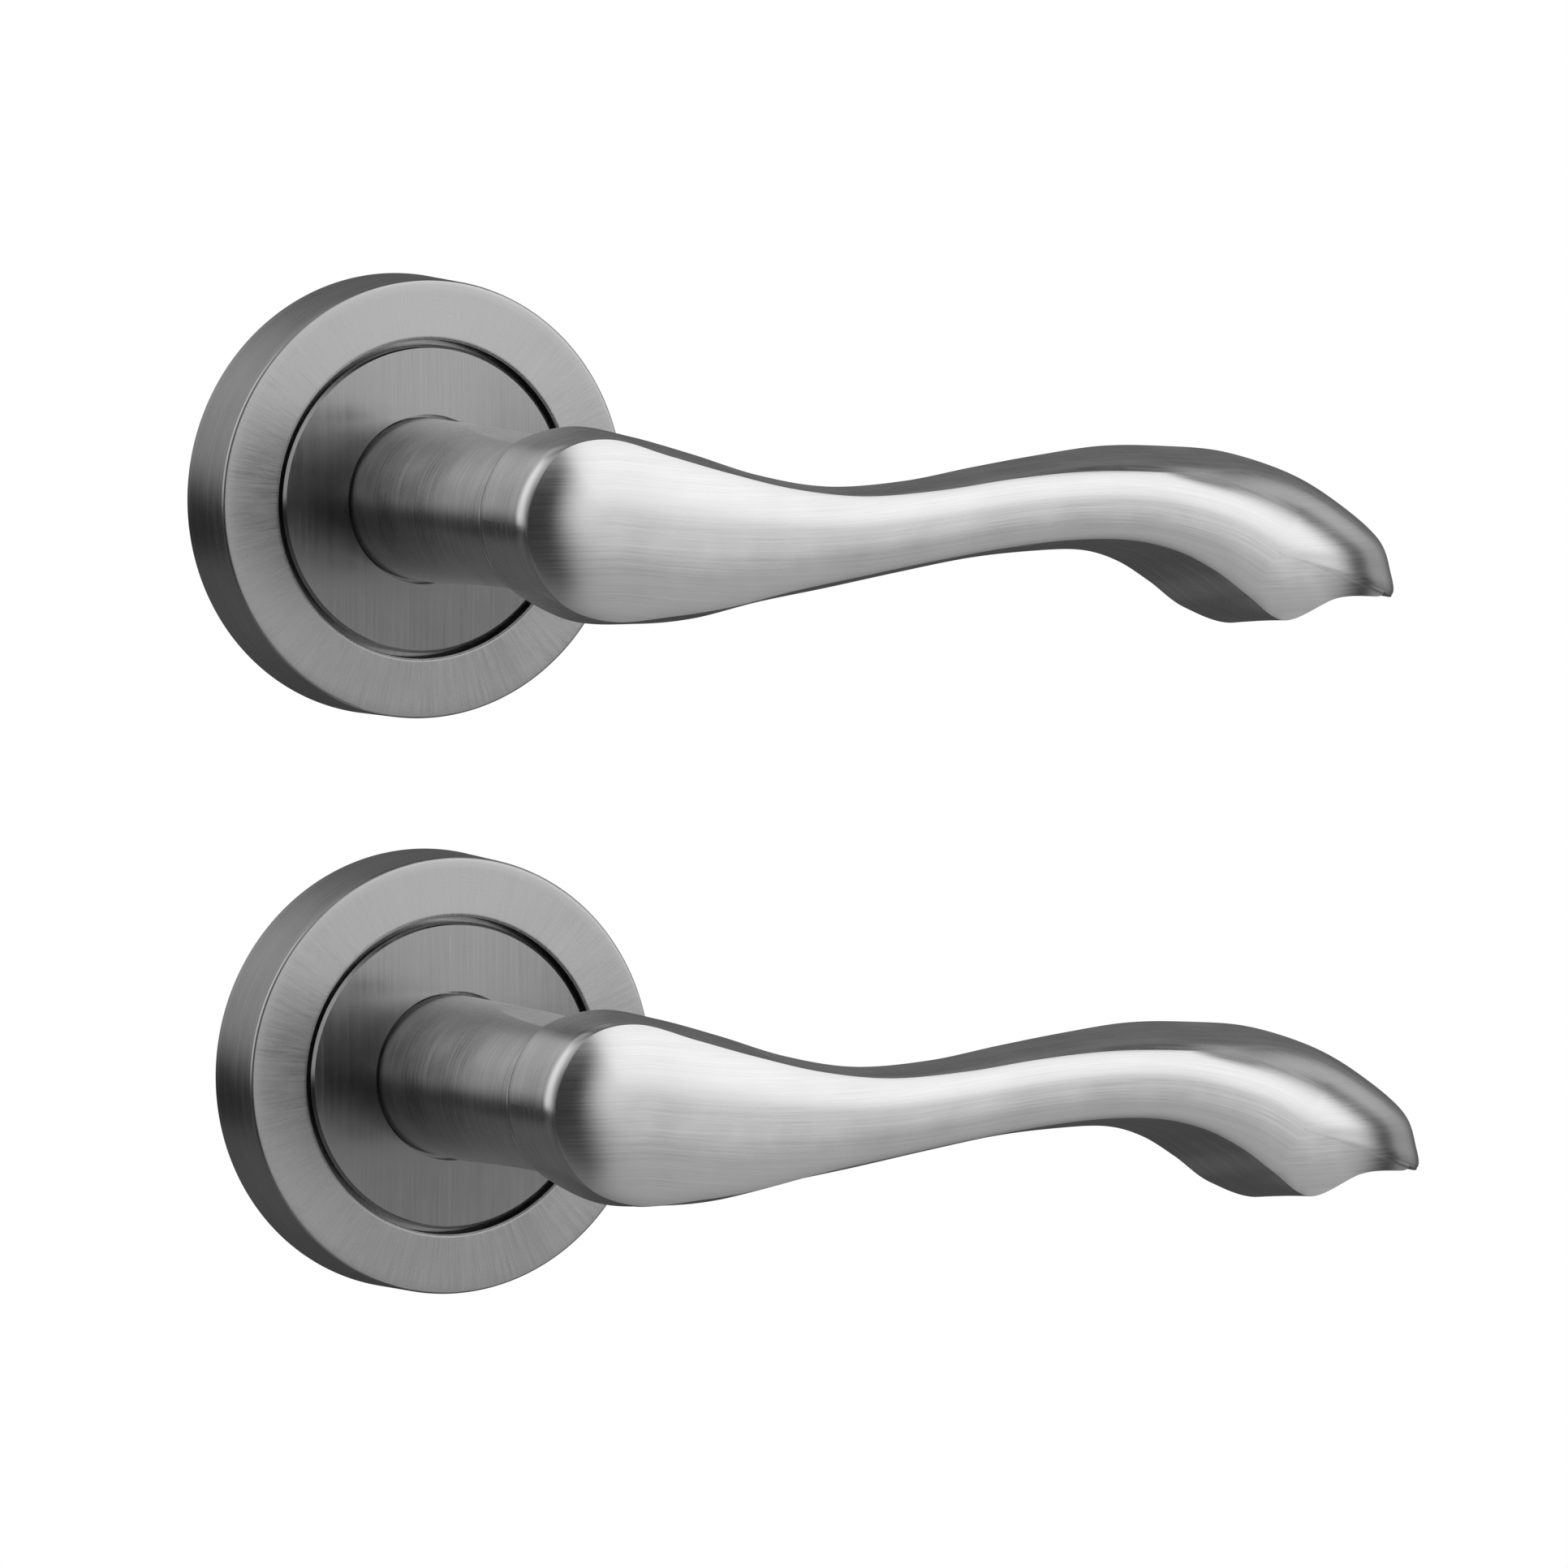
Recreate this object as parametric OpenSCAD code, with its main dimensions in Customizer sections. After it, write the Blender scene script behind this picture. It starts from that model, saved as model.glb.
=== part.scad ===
// Pair of sprung lever handles on round roses, for a door.
// Millimetres. The door face is the plane y = 0 and the handles stand out towards -Y.
// +X runs from the spindle to the lever's tip, and +Z is up.
// The origin is the upper handle's spindle axis on the door face.

/* [Pair] */
// Distance that the lower handle lies below the upper one
pair_drop = 68.5; // [62:0.5:120]
// Distance that the lower handle is shifted along the levers
pair_shift = 3.5; // [0:0.5:10]

/* [Rose] */
// Diameter of the cover ring at its front edge
rose_d = 52; // [51:0.5:54]
// Height of the rose off the door, at its rim
rose_t = 10; // [9.5:0.1:11]
// How much wider the cover ring is at the door than at its front, on the radius
rose_draft = 0.2; // [0:0.05:0.4]
// Slope of the rose's face from the neck down to the rim, in degrees
face_slope = 2; // [0:0.5:3]
// Diameter of the round opening in the cover ring's face
ring_hole_d = 37.7; // [37.6:0.1:38]
// Diameter of the boss that shows inside the cover ring
boss_d = 36.5; // [36:0.1:36.8]
// Circle of the four fixing screw holes
fixing_pcd = 43; // [42.8:0.1:43.4]
// Diameter of each fixing screw hole
fixing_hole_d = 4.2; // [3.8:0.1:4.4]

/* [Lever] */
// Diameter of the lever's neck
neck_d = 19.2; // [19:0.1:19.4]
// Diameter of the bearing journal behind the neck
journal_d = 16; // [15.8:0.1:16.2]
// Distance from the door to the lever's front edge
projection = 58; // [57:0.5:60]
// Height of the crown on the lever's front face
crown = 1.5; // [0.5:0.1:2]
// Distance that the lever's far end comes back towards the door
return_bend = 6.3; // [5:0.1:7]

/* [Spindle] */
// Width across the square spindle
spindle_w = 8; // [7.6:0.1:8]
// Length of spindle that stands out behind the rose
spindle_out = 38; // [20:1:44]

/* [Spring] */
// Wire diameter of the return spring
wire_d = 1.2; // [1:0.1:1.3]
// Number of whole turns in the return spring
spring_turns = 2; // [1:1:2]

/* [Hidden] */

$fn = 96;
fit = 0.05;        // running and seating clearance, on the radius
eps = 0.01;        // overlap that keeps a cut from leaving a skin

// Cover ring
ring_r = rose_d / 2;
ring_hole_r = ring_hole_d / 2;
ring_wall = 1.4;
ring_face_t = 2.2;
collar_wall = 1.4;
collar_back = 4.6;  // the screwed collar stops this far from the door
edge_break = 0.35;  // chamfer on the ring's visible edges
function face_y(r) = rose_t + (ring_r - r) * tan(face_slope);

// Inner rose
boss_r = boss_d / 2;
thread_r = ring_hole_r - fit;
groove_depth = 2.6; // the ring and boss part this deep before the thread starts
flange_gap = 0.3;
flange_r = ring_r - ring_wall - flange_gap;
flange_t = 2.6;
neck_r = neck_d / 2;
neck_gap = 0.45;    // gap that shows round the neck where it enters the boss
boss_bore_r = neck_r + neck_gap;
boss_bore_depth = 0.85;
bush_r = 9.1;
boss_face_t = 3.2;      // from the boss face to the cavity's front wall
cavity_r = 14;
screw_head_r = 2.6;
screw_cone_t = 1.2;

// Stops inside the cavity, as angles up from +X
stop_inner_r = 12.8;
stop_root = 0.5;      // how far the stops reach into the cavity's wall
stop_rest = [101, 122];
stop_down = [12, 34];

// Bearing bush
bush_flange_r = 10.3;
bush_flange_t = 0.8;
journal_r = journal_d / 2;
bush_bore_r = journal_r + fit;

// Stack along the spindle axis, as distances from the door
shoulder_gap = 0.1;
shoulder_y = rose_t - boss_bore_depth + shoulder_gap;
cavity_y = rose_t - boss_face_t;
driver_y = [2.6, 3.8];
bush_end_y = driver_y[1] + shoulder_gap;
washer_y = [2.1, 2.6];
circlip_y = [1.5, 2.1];
stop_y = driver_y[0] - 0.2;
plate_t = 1.1;
journal_end_y = 1.2;
flat_r = 6.6;         // half the width across the journal's driving flats
groove_r = 7.1;       // root of the circlip groove
driver_r = 10.4;
ear_r = 13.6;
ear_root = 1;         // how far the ear reaches into the driver's disc
ear_half = 10;        // half angle of the driver's ear
washer_r = 10.2;
washer_gap = 0.15;
circlip_r = 9.6;
lug_angles = [258, 282];
lug_r = 1.6;
lug_hole_r = 0.6;
lug_hole_out = 0.1;
clip_gap = [263, 277];

// Back plate
plate_r = 17.4;
plate_hole_r = 8.6;
plate_screw_r = 1;
plate_screw_ring = 15.7;
plate_screw_angles = [60, 180, 300];
plate_screw_len = 4;
plate_screw_head_r = 1.9;
plate_screw_head_t = 0.9;
plate_screw_sink = 0.1;
plate_screw_short = 0.4;
plate_screw_slack = 0.15;
recess_size = [2, 0.6, 0.4];

// Spindle and grub screw
socket_w = spindle_w + 2 * fit;
socket_end_y = 36;
spindle_in_y = 35;
spindle_edge = 0.6;   // chamfer on the spindle's long edges
grub_y = 22;
grub_r = 2.5;
grub_sink = 1;
dimple_slack = 0.2;
dimple_depth = 0.6;
hex_key = 2.5;
hex_depth = 2.2;

// Return spring
coil_r = 11.2;
leg_r = 13.1;
leg_reach = 25;       // angle over which a leg swings out from the coil
coil_y = [cavity_y - 0.7, driver_y[0] + 0.8];  // wire centres at the two ends
fixed_leg_gap = 3.4;  // angles that put each leg's wire against its stop or the ear
moving_leg_gap = 3.2;
fixed_leg_angle = stop_rest[1] + fixed_leg_gap;
moving_leg_angle = 90 - ear_half - moving_leg_gap;
wire_sides = 8;
turn_points = 24;

// Lever outline. Each row is [x, z]. The top row runs from the bulb's left end to the
// tip, and the bottom row runs the same way, point for point.
front_left = [-8.3, -0.2];
front_top = [
    [-6.9, 5.1], [-3.4, 9], [2.5, 9.9], [10, 7.7], [17.5, 5.5], [26, 3.4],
    [35, 2.3], [45, 2.7], [54.5, 3.7], [63.5, 4.2], [72.5, 3.9], [81, 3],
    [88.5, 1.3], [94, -1.2], [98.6, -4.4], [101.4, -8.2], [102, -10.3]
];
front_bottom = [
    [-6.9, -5.4], [-3.4, -9.6], [2.5, -11.5], [10, -11.1], [17.5, -10.2], [26, -8.5],
    [35, -7], [44.5, -5.5], [54, -4.3], [62.5, -3.7], [70.5, -4], [77, -5.5],
    [82.5, -8.1], [87, -11.2], [91.2, -14.1], [95.4, -13], [99.1, -12.2]
];
front_tip = [101.8, -11.6];
back_left = [-9.8, 0.3];
back_top = [
    [-8.4, 5.5], [-4.8, 9.3], [2, 10.8], [9.5, 9.4], [17.5, 7.1], [26, 4.4],
    [35, 2.8], [45, 3.1], [54.5, 4.4], [63.5, 5.5], [72.5, 6.3], [81, 6],
    [89, 5.1], [97, 2.5], [103.9, -1.6], [108.9, -5.8], [110.5, -9.7]
];
back_bottom = [
    [-8.3, -5.1], [-4.9, -8.7], [2, -12], [10, -12.6], [17.5, -12.2], [26, -10.5],
    [35, -9.1], [44.5, -7.6], [54, -6.3], [62.5, -5.8], [69.5, -5.9], [74.5, -7.3],
    [79, -9.9], [84, -13.3], [91, -15.3], [99, -12.1], [107, -12.3]
];
back_tip = [110.7, -12.6];
steps = 2;              // points made between two outline points
bend_start = 30;        // the lever runs parallel to the door up to this x
bend_reach = 72;        // and has come back by return_bend over this distance
back_depth = 10.4;      // thickness of the lever between its edges at the bulb
back_in = 5.1;          // how far the back face comes back towards the door
back_reach = 62;
crown_rings = [0.97, 0.88, 0.74, 0.5, 0.22];
crown_power = 3;
wall_levels = [0, 0.08, 0.25, 0.5, 0.75, 1];
// How far the top and bottom edges are rounded over, and the x values where that changes
top_round = [0.2, 1];
top_round_x = [70, 96];
low_round = [0.7, 0.2, 0.8];
low_round_x = [55, 75, 94, 102];
neck_bed = 9.4;         // the neck ends this far behind the bulb's front edge

// Neck relief, cut by two large cylinders across the neck
relief_r = 420;
relief_top = 0.9;
relief_bottom = 1.6;
relief_y = 52;
relief_len = 4 * neck_r;
relief_fn = 200;

// Colours, as the finished metal shows
nickel = [0.66, 0.66, 0.67];
nickel_dark = [0.5, 0.5, 0.51];
steel = [0.72, 0.73, 0.75];
zinc = [0.58, 0.6, 0.62];
nylon = [0.88, 0.88, 0.85];
black_steel = [0.15, 0.15, 0.16];

// A lathe profile drawn as [radius, distance from the door], spun about the spindle axis
module lathe(profile) {
    rotate([90, 0, 0]) rotate_extrude() polygon(profile);
}

// A round bar along the spindle axis, between two distances from the door
module bar(r, y_from, y_to) {
    translate([0, -y_from, 0]) rotate([90, 0, 0]) cylinder(r = r, h = y_to - y_from);
}

// A flat shape in the X-Z plane, drawn from a distance y_from to y_to off the door
module plate(y_from, y_to) {
    translate([0, -y_from, 0]) rotate([90, 0, 0]) linear_extrude(y_to - y_from) children();
}

// A sector between two radii and two angles, with straight inner and outer edges
module sector(r_in, r_out, a0, a1) {
    n = 8;
    arc = [for (i = [0:n]) a0 + (a1 - a0) * i / n];
    polygon(concat([for (a = arc) r_in * [cos(a), sin(a)]],
                   [for (i = [n:-1:0]) r_out * [cos(arc[i]), sin(arc[i])]]));
}

// Cover ring: hides the fixing screws and screws onto the boss
module cover_ring() {
    color(nickel) lathe([
        [ring_hole_r + edge_break, face_y(ring_hole_r)],
        [ring_r - edge_break, face_y(ring_r)],
        [ring_r, rose_t - edge_break], [ring_r + rose_draft, 0],
        [ring_r + rose_draft - ring_wall, 0], [ring_r - ring_wall, rose_t - ring_face_t],
        [ring_hole_r + collar_wall, rose_t - ring_face_t],
        [ring_hole_r + collar_wall, collar_back], [ring_hole_r, collar_back],
        [ring_hole_r, face_y(ring_hole_r) - edge_break]
    ]);
}

// Inner rose: the fixing flange, the threaded boss and the spring housing in one casting
module inner_rose() {
    color(nickel_dark) difference() {
        union() {
            lathe([
                [boss_bore_r, face_y(boss_bore_r)], [boss_r - edge_break, face_y(boss_r)],
                [boss_r, face_y(boss_r) - edge_break], [boss_r, rose_t - groove_depth],
                [thread_r, rose_t - groove_depth], [thread_r, flange_t], [flange_r, flange_t],
                [flange_r, 0], [plate_r + fit, 0], [plate_r + fit, plate_t],
                [cavity_r, plate_t], [cavity_r, cavity_y], [bush_r, cavity_y],
                [bush_r, rose_t - boss_bore_depth], [boss_bore_r, rose_t - boss_bore_depth]
            ]);
            for (stop = [stop_rest, stop_down])
                plate(stop_y, cavity_y + eps)
                    sector(stop_inner_r, cavity_r + stop_root, stop[0], stop[1]);
        }
        for (a = [45:90:315]) rotate([0, a, 0]) translate([fixing_pcd / 2, 0, 0]) {
            bar(fixing_hole_d / 2, -1, flange_t + 1);
            translate([0, -flange_t - eps, 0]) rotate([-90, 0, 0])
                cylinder(r1 = screw_head_r, r2 = fixing_hole_d / 2, h = screw_cone_t);
        }
        for (a = plate_screw_angles) rotate([0, -a, 0])
            translate([plate_screw_ring, 0, 0]) bar(plate_screw_r, 0, plate_screw_len);
    }
}

// Bearing bush: a sleeve pressed into the boss from behind, in which the journal turns
module bearing_bush() {
    color(nylon) lathe([
        [bush_bore_r, bush_end_y], [bush_r, bush_end_y], [bush_r, cavity_y - bush_flange_t],
        [bush_flange_r, cavity_y - bush_flange_t], [bush_flange_r, cavity_y],
        [bush_r, cavity_y], [bush_r, rose_t - boss_bore_depth],
        [bush_bore_r, rose_t - boss_bore_depth]
    ]);
}

// Back plate: closes the spring housing on the door side
module back_plate() {
    color(steel) difference() {
        lathe([
            [plate_hole_r, 0], [plate_r, 0], [plate_r, plate_t - fit],
            [plate_hole_r, plate_t - fit]
        ]);
        for (a = plate_screw_angles) rotate([0, -a, 0]) translate([plate_screw_ring, 0, 0]) {
            bar(plate_screw_r, -1, plate_t + 1);
            translate([0, eps, 0]) rotate([90, 0, 0])
                cylinder(r1 = plate_screw_head_r, r2 = plate_screw_r, h = plate_screw_head_t);
        }
    }
}

// Plate screws: three countersunk screws with a cross recess
module plate_screws() {
    color(black_steel)
        for (a = plate_screw_angles) rotate([0, -a, 0]) translate([plate_screw_ring, 0, 0])
            difference() {
                union() {
                    bar(plate_screw_r - fit, plate_screw_sink,
                        plate_screw_len - plate_screw_short);
                    translate([0, -plate_screw_sink, 0]) rotate([90, 0, 0])
                        cylinder(r1 = plate_screw_head_r - plate_screw_slack,
                                 r2 = plate_screw_r - fit,
                                 h = plate_screw_head_t - plate_screw_slack);
                }
                for (turn = [0, 90]) rotate([0, turn, 0])
                    translate([-recess_size[0] / 2, -recess_size[1], -recess_size[2] / 2])
                        cube(recess_size + [0, plate_screw_sink, 0]);
            }
}

// Catmull-Rom point between b and c, at t from 0 to 1
function blend_point(a, b, c, d, t) =
    (2 * b + (c - a) * t + (2 * a - 5 * b + 4 * c - d) * t * t
     + (3 * b - a - 3 * c + d) * t * t * t) / 2;

// A closed smooth outline through the points given
function closed_outline(p) = let (n = len(p)) [
    for (i = [0:n - 1], j = [0:steps - 1])
        blend_point(p[(i + n - 1) % n], p[i], p[(i + 1) % n], p[(i + 2) % n], j / steps)
];
function reversed(p) = [for (i = [len(p) - 1:-1:0]) p[i]];
function smooth_step(t) = let (c = min(max(t, 0), 1)) c * c * (3 - 2 * c);

front_outline = closed_outline(concat([front_left], front_top, [front_tip],
                                      reversed(front_bottom)));
back_outline = closed_outline(concat([back_left], back_top, [back_tip],
                                     reversed(back_bottom)));
outline_n = len(front_outline);

// Distance from the door of the lever's front edge and back edge at a given x
function front_off(x) = projection - return_bend * pow(max(x - bend_start, 0) / bend_reach, 2);
function back_off(x) = projection - back_depth
    - back_in * smooth_step((x - bend_start) / back_reach);

// Each outline point faces a partner across the lever. The spine runs halfway between
// them, from the round bulb to the middle of the far end.
bulb_i = 3 * steps;
tip_i = 14 * steps;
function partner(i) = (outline_n - i) % outline_n;
function spine_i(i) = min(tip_i, max(bulb_i, min(i, partner(i))));
function spine(i) = (front_outline[spine_i(i)] + front_outline[partner(spine_i(i))]) / 2;
function half_width(i) = norm(front_outline[spine_i(i)] - spine(i));

// A point of the crowned front: s is 1 at the edge and falls towards the spine
function crown_at(i) = crown * half_width(i) / half_width(bulb_i);
function front_point(i, s) =
    let (e = front_outline[i], c = spine(i), p = c + (e - c) * s)
    [p[0], -front_off(p[0]) - crown_at(i) * (1 - pow(s, crown_power)), p[1]];

// A smooth change from one value to another as x goes between two places
function change(from, to, x, x_from, x_to) =
    from + (to - from) * smooth_step((x - x_from) / (x_to - x_from));

// How far the wall is a rounded roll-over: 0 is a straight wall, 1 a quarter ellipse
function roundness(i) = i < outline_n / 2
    ? change(top_round[0], top_round[1], front_outline[i][0], top_round_x[0], top_round_x[1])
    : front_outline[i][0] < low_round_x[2]
    ? change(low_round[0], low_round[1], front_outline[i][0], low_round_x[0], low_round_x[1])
    : change(low_round[1], low_round[2], front_outline[i][0], low_round_x[2], low_round_x[3]);
function wall_point(i, q) =
    let (w = roundness(i), f = front_outline[i], b = back_outline[i],
         out = (1 - w) * q + w * sin(90 * q), in = (1 - w) * q + w * (1 - cos(90 * q)),
         p = f + (b - f) * out)
    [p[0], -front_off(f[0]) + (front_off(f[0]) - back_off(b[0])) * in, p[1]];

// Solid skin through rings of equal length, closed at both ends by ladders of quads
function ladder(base, flip) = [
    for (i = [0:outline_n / 2 - 1])
        let (a = base + i, b = base + i + 1, c = base + partner(i + 1), d = base + partner(i))
        i == 0 ? (flip ? [a, c, b] : [a, b, c])
        : i == outline_n / 2 - 1 ? (flip ? [a, d, b] : [a, b, d])
        : (flip ? [a, d, c, b] : [a, b, c, d])
];
module grip_solid() {
    rings = concat(
        [for (s = reversed(crown_rings)) [for (i = [0:outline_n - 1]) front_point(i, s)]],
        [for (q = wall_levels) [for (i = [0:outline_n - 1]) wall_point(i, q)]]
    );
    last = len(rings) - 1;
    points = [for (ring = rings) each ring];
    sides = [
        for (k = [0:last - 1], i = [0:outline_n - 1])
            let (j = (i + 1) % outline_n, a = k * outline_n, b = a + outline_n)
            each [[a + i, b + j, a + j], [a + i, b + i, b + j]]
    ];
    caps = concat(ladder(0, false), ladder(last * outline_n, true));
    flat_caps = [for (f = caps) each (len(f) == 4
        ? [[f[0], f[1], f[2]], [f[0], f[2], f[3]]] : [f])];
    polyhedron(points = points, faces = concat(sides, flat_caps));
}

// Lever: neck, bulb and grip in one casting, with the journal and spindle socket
module lever() {
    color(nickel) difference() {
        union() {
            grip_solid();
            difference() {
                bar(neck_r, shoulder_y, projection - neck_bed);
                for (side = [1, -1])
                    translate([0, -relief_y, side * (neck_r + relief_r
                        - (side > 0 ? relief_top : relief_bottom))])
                        rotate([0, 90, 0])
                            cylinder(r = relief_r, h = relief_len, center = true,
                                     $fn = relief_fn);
            }
            bar(journal_r, bush_end_y, shoulder_y + eps);
            intersection() {
                bar(journal_r, journal_end_y, bush_end_y + eps);
                plate(journal_end_y, bush_end_y + 1)
                    square([4 * flat_r, 2 * flat_r], center = true);
            }
        }
        translate([-socket_w / 2, -socket_end_y, -socket_w / 2])
            cube([socket_w, socket_end_y, socket_w]);
        difference() {
            bar(journal_r + 1, circlip_y[0] - fit, circlip_y[1] + fit);
            bar(groove_r, 0, circlip_y[1] + 1);
        }
        translate([0, -grub_y, -neck_r - 1]) cylinder(r = grub_r, h = neck_r + 1);
    }
}

// Spring driver: a stamped plate keyed to the journal, with an ear that winds the spring
module spring_driver() {
    color(steel) difference() {
        union() {
            bar(driver_r, driver_y[0], driver_y[1]);
            plate(driver_y[0], driver_y[1])
                sector(driver_r - ear_root, ear_r, 90 - ear_half, 90 + ear_half);
        }
        intersection() {
            bar(journal_r + fit, 0, bush_end_y);
            plate(1, bush_end_y) square([4 * flat_r, 2 * (flat_r + fit)], center = true);
        }
    }
}

// Wave washer: takes up the end play between the driver and the circlip
module wave_washer() {
    color(steel) bar_ring(washer_r, journal_r + washer_gap,
                          washer_y[0] + fit, washer_y[1] - fit);
}

// A plain ring about the spindle axis
module bar_ring(r_out, r_in, y_from, y_to) {
    lathe([[r_in, y_from], [r_out, y_from], [r_out, y_to], [r_in, y_to]]);
}

// Circlip: an open ring in the journal's groove that keeps the lever in the rose
module circlip() {
    color(black_steel) plate(circlip_y[0], circlip_y[1]) difference() {
        union() {
            circle(r = circlip_r);
            for (a = lug_angles) rotate(a) translate([circlip_r, 0]) circle(r = lug_r);
        }
        circle(r = groove_r + fit);
        for (a = lug_angles) rotate(a) translate([circlip_r + lug_hole_out, 0])
            circle(r = lug_hole_r);
        sector(1, 3 * circlip_r, clip_gap[0], clip_gap[1]);
    }
}

// Spindle: the square bar that turns the latch
module spindle() {
    h = spindle_w / 2;
    c = spindle_edge;
    color(steel) difference() {
        plate(-spindle_out, spindle_in_y)
            polygon([[h, h - c], [h - c, h], [c - h, h], [-h, h - c],
                     [-h, c - h], [c - h, -h], [h - c, -h], [h, c - h]]);
        translate([0, -grub_y, -h - 1]) cylinder(r = grub_r + dimple_slack,
                                                 h = 1 + dimple_depth);
    }
}

// Grub screw: clamps the lever on its spindle from below the neck
module grub_screw() {
    top = -spindle_w / 2 + dimple_depth;
    bottom = -neck_r + grub_sink;
    color(black_steel) translate([0, -grub_y, bottom]) difference() {
        cylinder(r = grub_r - fit, h = top - bottom);
        translate([0, 0, -1]) cylinder(r = hex_key / 2 / cos(30), h = hex_depth + 1, $fn = 6);
    }
}

// Return spring: a torsion coil whose legs bear on the housing and on the driver's ear
module return_spring() {
    total = turn_points * spring_turns;
    sweep = 360 * spring_turns - fixed_leg_angle + moving_leg_angle;
    coil = [for (i = [0:total])
        let (a = sweep * i / total, from_end = min(a, sweep - a),
             r = leg_r - (leg_r - coil_r) * smooth_step(from_end / leg_reach))
        [r * cos(fixed_leg_angle + a), -(coil_y[0] + (coil_y[1] - coil_y[0]) * i / total),
         r * sin(fixed_leg_angle + a)]];
    color(steel) tube(coil, wire_d / 2, wire_sides);
}

// A round tube along a path that turns about the spindle axis
module tube(path, r, sides) {
    n = len(path);
    points = [for (i = [0:n - 1])
        let (radial = [path[i][0], 0, path[i][2]] / norm([path[i][0], 0, path[i][2]]))
        for (k = [0:sides - 1])
            path[i] + r * (cos(360 * k / sides) * radial + sin(360 * k / sides) * [0, 1, 0])];
    skin = [for (i = [0:n - 2], k = [0:sides - 1])
        let (l = (k + 1) % sides, a = i * sides, b = a + sides)
        each [[a + k, a + l, b + l], [a + k, b + l, b + k]]];
    start = [[for (k = [0:sides - 1]) sides - 1 - k]];
    end = [[for (k = [0:sides - 1]) (n - 1) * sides + k]];
    polyhedron(points = points, faces = concat(skin, start, end));
}

// Places a piece in the lower handle
module lower() {
    translate([pair_shift, 0, -pair_drop]) children();
}

cover_ring();  // upper_cover_ring
inner_rose();  // upper_inner_rose
bearing_bush();  // upper_bearing_bush
back_plate();  // upper_back_plate
plate_screws();  // upper_plate_screws
return_spring();  // upper_return_spring
lever();  // upper_lever
spring_driver();  // upper_spring_driver
wave_washer();  // upper_wave_washer
circlip();  // upper_circlip
spindle();  // upper_spindle
grub_screw();  // upper_grub_screw
lower() cover_ring();  // lower_cover_ring
lower() inner_rose();  // lower_inner_rose
lower() bearing_bush();  // lower_bearing_bush
lower() back_plate();  // lower_back_plate
lower() plate_screws();  // lower_plate_screws
lower() return_spring();  // lower_return_spring
lower() lever();  // lower_lever
lower() spring_driver();  // lower_spring_driver
lower() wave_washer();  // lower_wave_washer
lower() circlip();  // lower_circlip
lower() spindle();  // lower_spindle
lower() grub_screw();  // lower_grub_screw
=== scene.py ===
"""Two sprung lever handles on round roses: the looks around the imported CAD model.

Lengths named in this script are millimetres, as in the part's own source, and turn into
metres through MM. Each handle is made by the same functions, about its own spindle axis:
x runs towards the lever's tip, y towards the door, and z up.
"""
import math

import bmesh
import bpy
import numpy as np
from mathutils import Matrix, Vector


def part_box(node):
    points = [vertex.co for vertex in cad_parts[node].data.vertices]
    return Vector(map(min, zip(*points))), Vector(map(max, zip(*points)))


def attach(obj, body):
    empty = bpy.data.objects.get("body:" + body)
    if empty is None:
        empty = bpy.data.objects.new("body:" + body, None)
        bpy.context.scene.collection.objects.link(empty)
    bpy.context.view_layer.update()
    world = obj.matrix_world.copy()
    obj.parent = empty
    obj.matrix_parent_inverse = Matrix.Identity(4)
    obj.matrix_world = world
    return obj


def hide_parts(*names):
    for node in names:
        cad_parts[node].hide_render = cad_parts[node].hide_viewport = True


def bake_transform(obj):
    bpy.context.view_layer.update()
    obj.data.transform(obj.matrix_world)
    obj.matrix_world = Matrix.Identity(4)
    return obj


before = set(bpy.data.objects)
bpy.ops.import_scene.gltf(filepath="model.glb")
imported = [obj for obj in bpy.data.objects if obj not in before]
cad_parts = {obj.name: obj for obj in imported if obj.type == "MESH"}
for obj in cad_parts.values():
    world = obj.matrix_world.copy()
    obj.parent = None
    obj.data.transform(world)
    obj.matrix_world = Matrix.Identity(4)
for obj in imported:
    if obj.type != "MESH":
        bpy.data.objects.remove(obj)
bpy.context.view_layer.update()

MM = 0.001
HANDLES = ("upper", "lower")

# ---------------------------------------------------------------- driving dimensions
# Rose: its radius and thickness come from the CAD box
RING_LO, RING_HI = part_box("upper_cover_ring")
RIM_BACK_R = (RING_HI.x - RING_LO.x) / 2 / MM
FACE_SLOPE = math.radians(2)
RIM_DRAFT = 0.2
EDGE_ROUND = 0.35
RING_BORE_R = 18.85
RING_WALL = 1.4
RING_FACE_T = 2.2
COLLAR_BACK = 4.6
SHOULDER_W = 0.5       # the face rolls gently down into the bore over this width
SHOULDER_DROP = 0.05
CORNER = 0.1           # bevel on the corners that are out of sight
RIM_R = RIM_BACK_R - RIM_DRAFT
ROSE_T = -RING_LO.y / MM - (RIM_R - RING_BORE_R - EDGE_ROUND) * math.tan(FACE_SLOPE)
MEAN_FACE_R = 22       # radius at which the ring's brush lines are measured
RING_SEGMENTS = 256
RING_START = math.radians(20)

# Neck, journal and socket
NECK_R = 9.6
JOURNAL_R = 8.0
JOURNAL_END = 1.2
FLAT_HALF = 6.6
FLATS_END = 3.9
SHOULDER_Y = 9.25
CIRCLIP_Y = (1.45, 2.15)
CIRCLIP_ROOT = 7.1
SOCKET_HALF = 4.05
SOCKET_DEPTH = 36
RELIEF_R = 420
RELIEF_Y = 52
RELIEF_TOP = 0.9
RELIEF_BOTTOM = 1.6
GRUB_Y = 22
GRUB_R = 2.5
NECK_END = 48.4        # the neck ends inside the bulb
SEAM_Y = 47.05         # fine groove where the neck meets the bulb
SEAM_HALF = 0.16
SEAM_DEPTH = 0.12
NECK_ROWS = 44
ROW_GAP = 0.6          # from the seam and the shoulder to the rows between them
SEAM_ROWS = [(1, 0), (0.5, 0.8), (0, 1), (-0.5, 0.8), (-1, 0)]  # share of its width, depth
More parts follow.
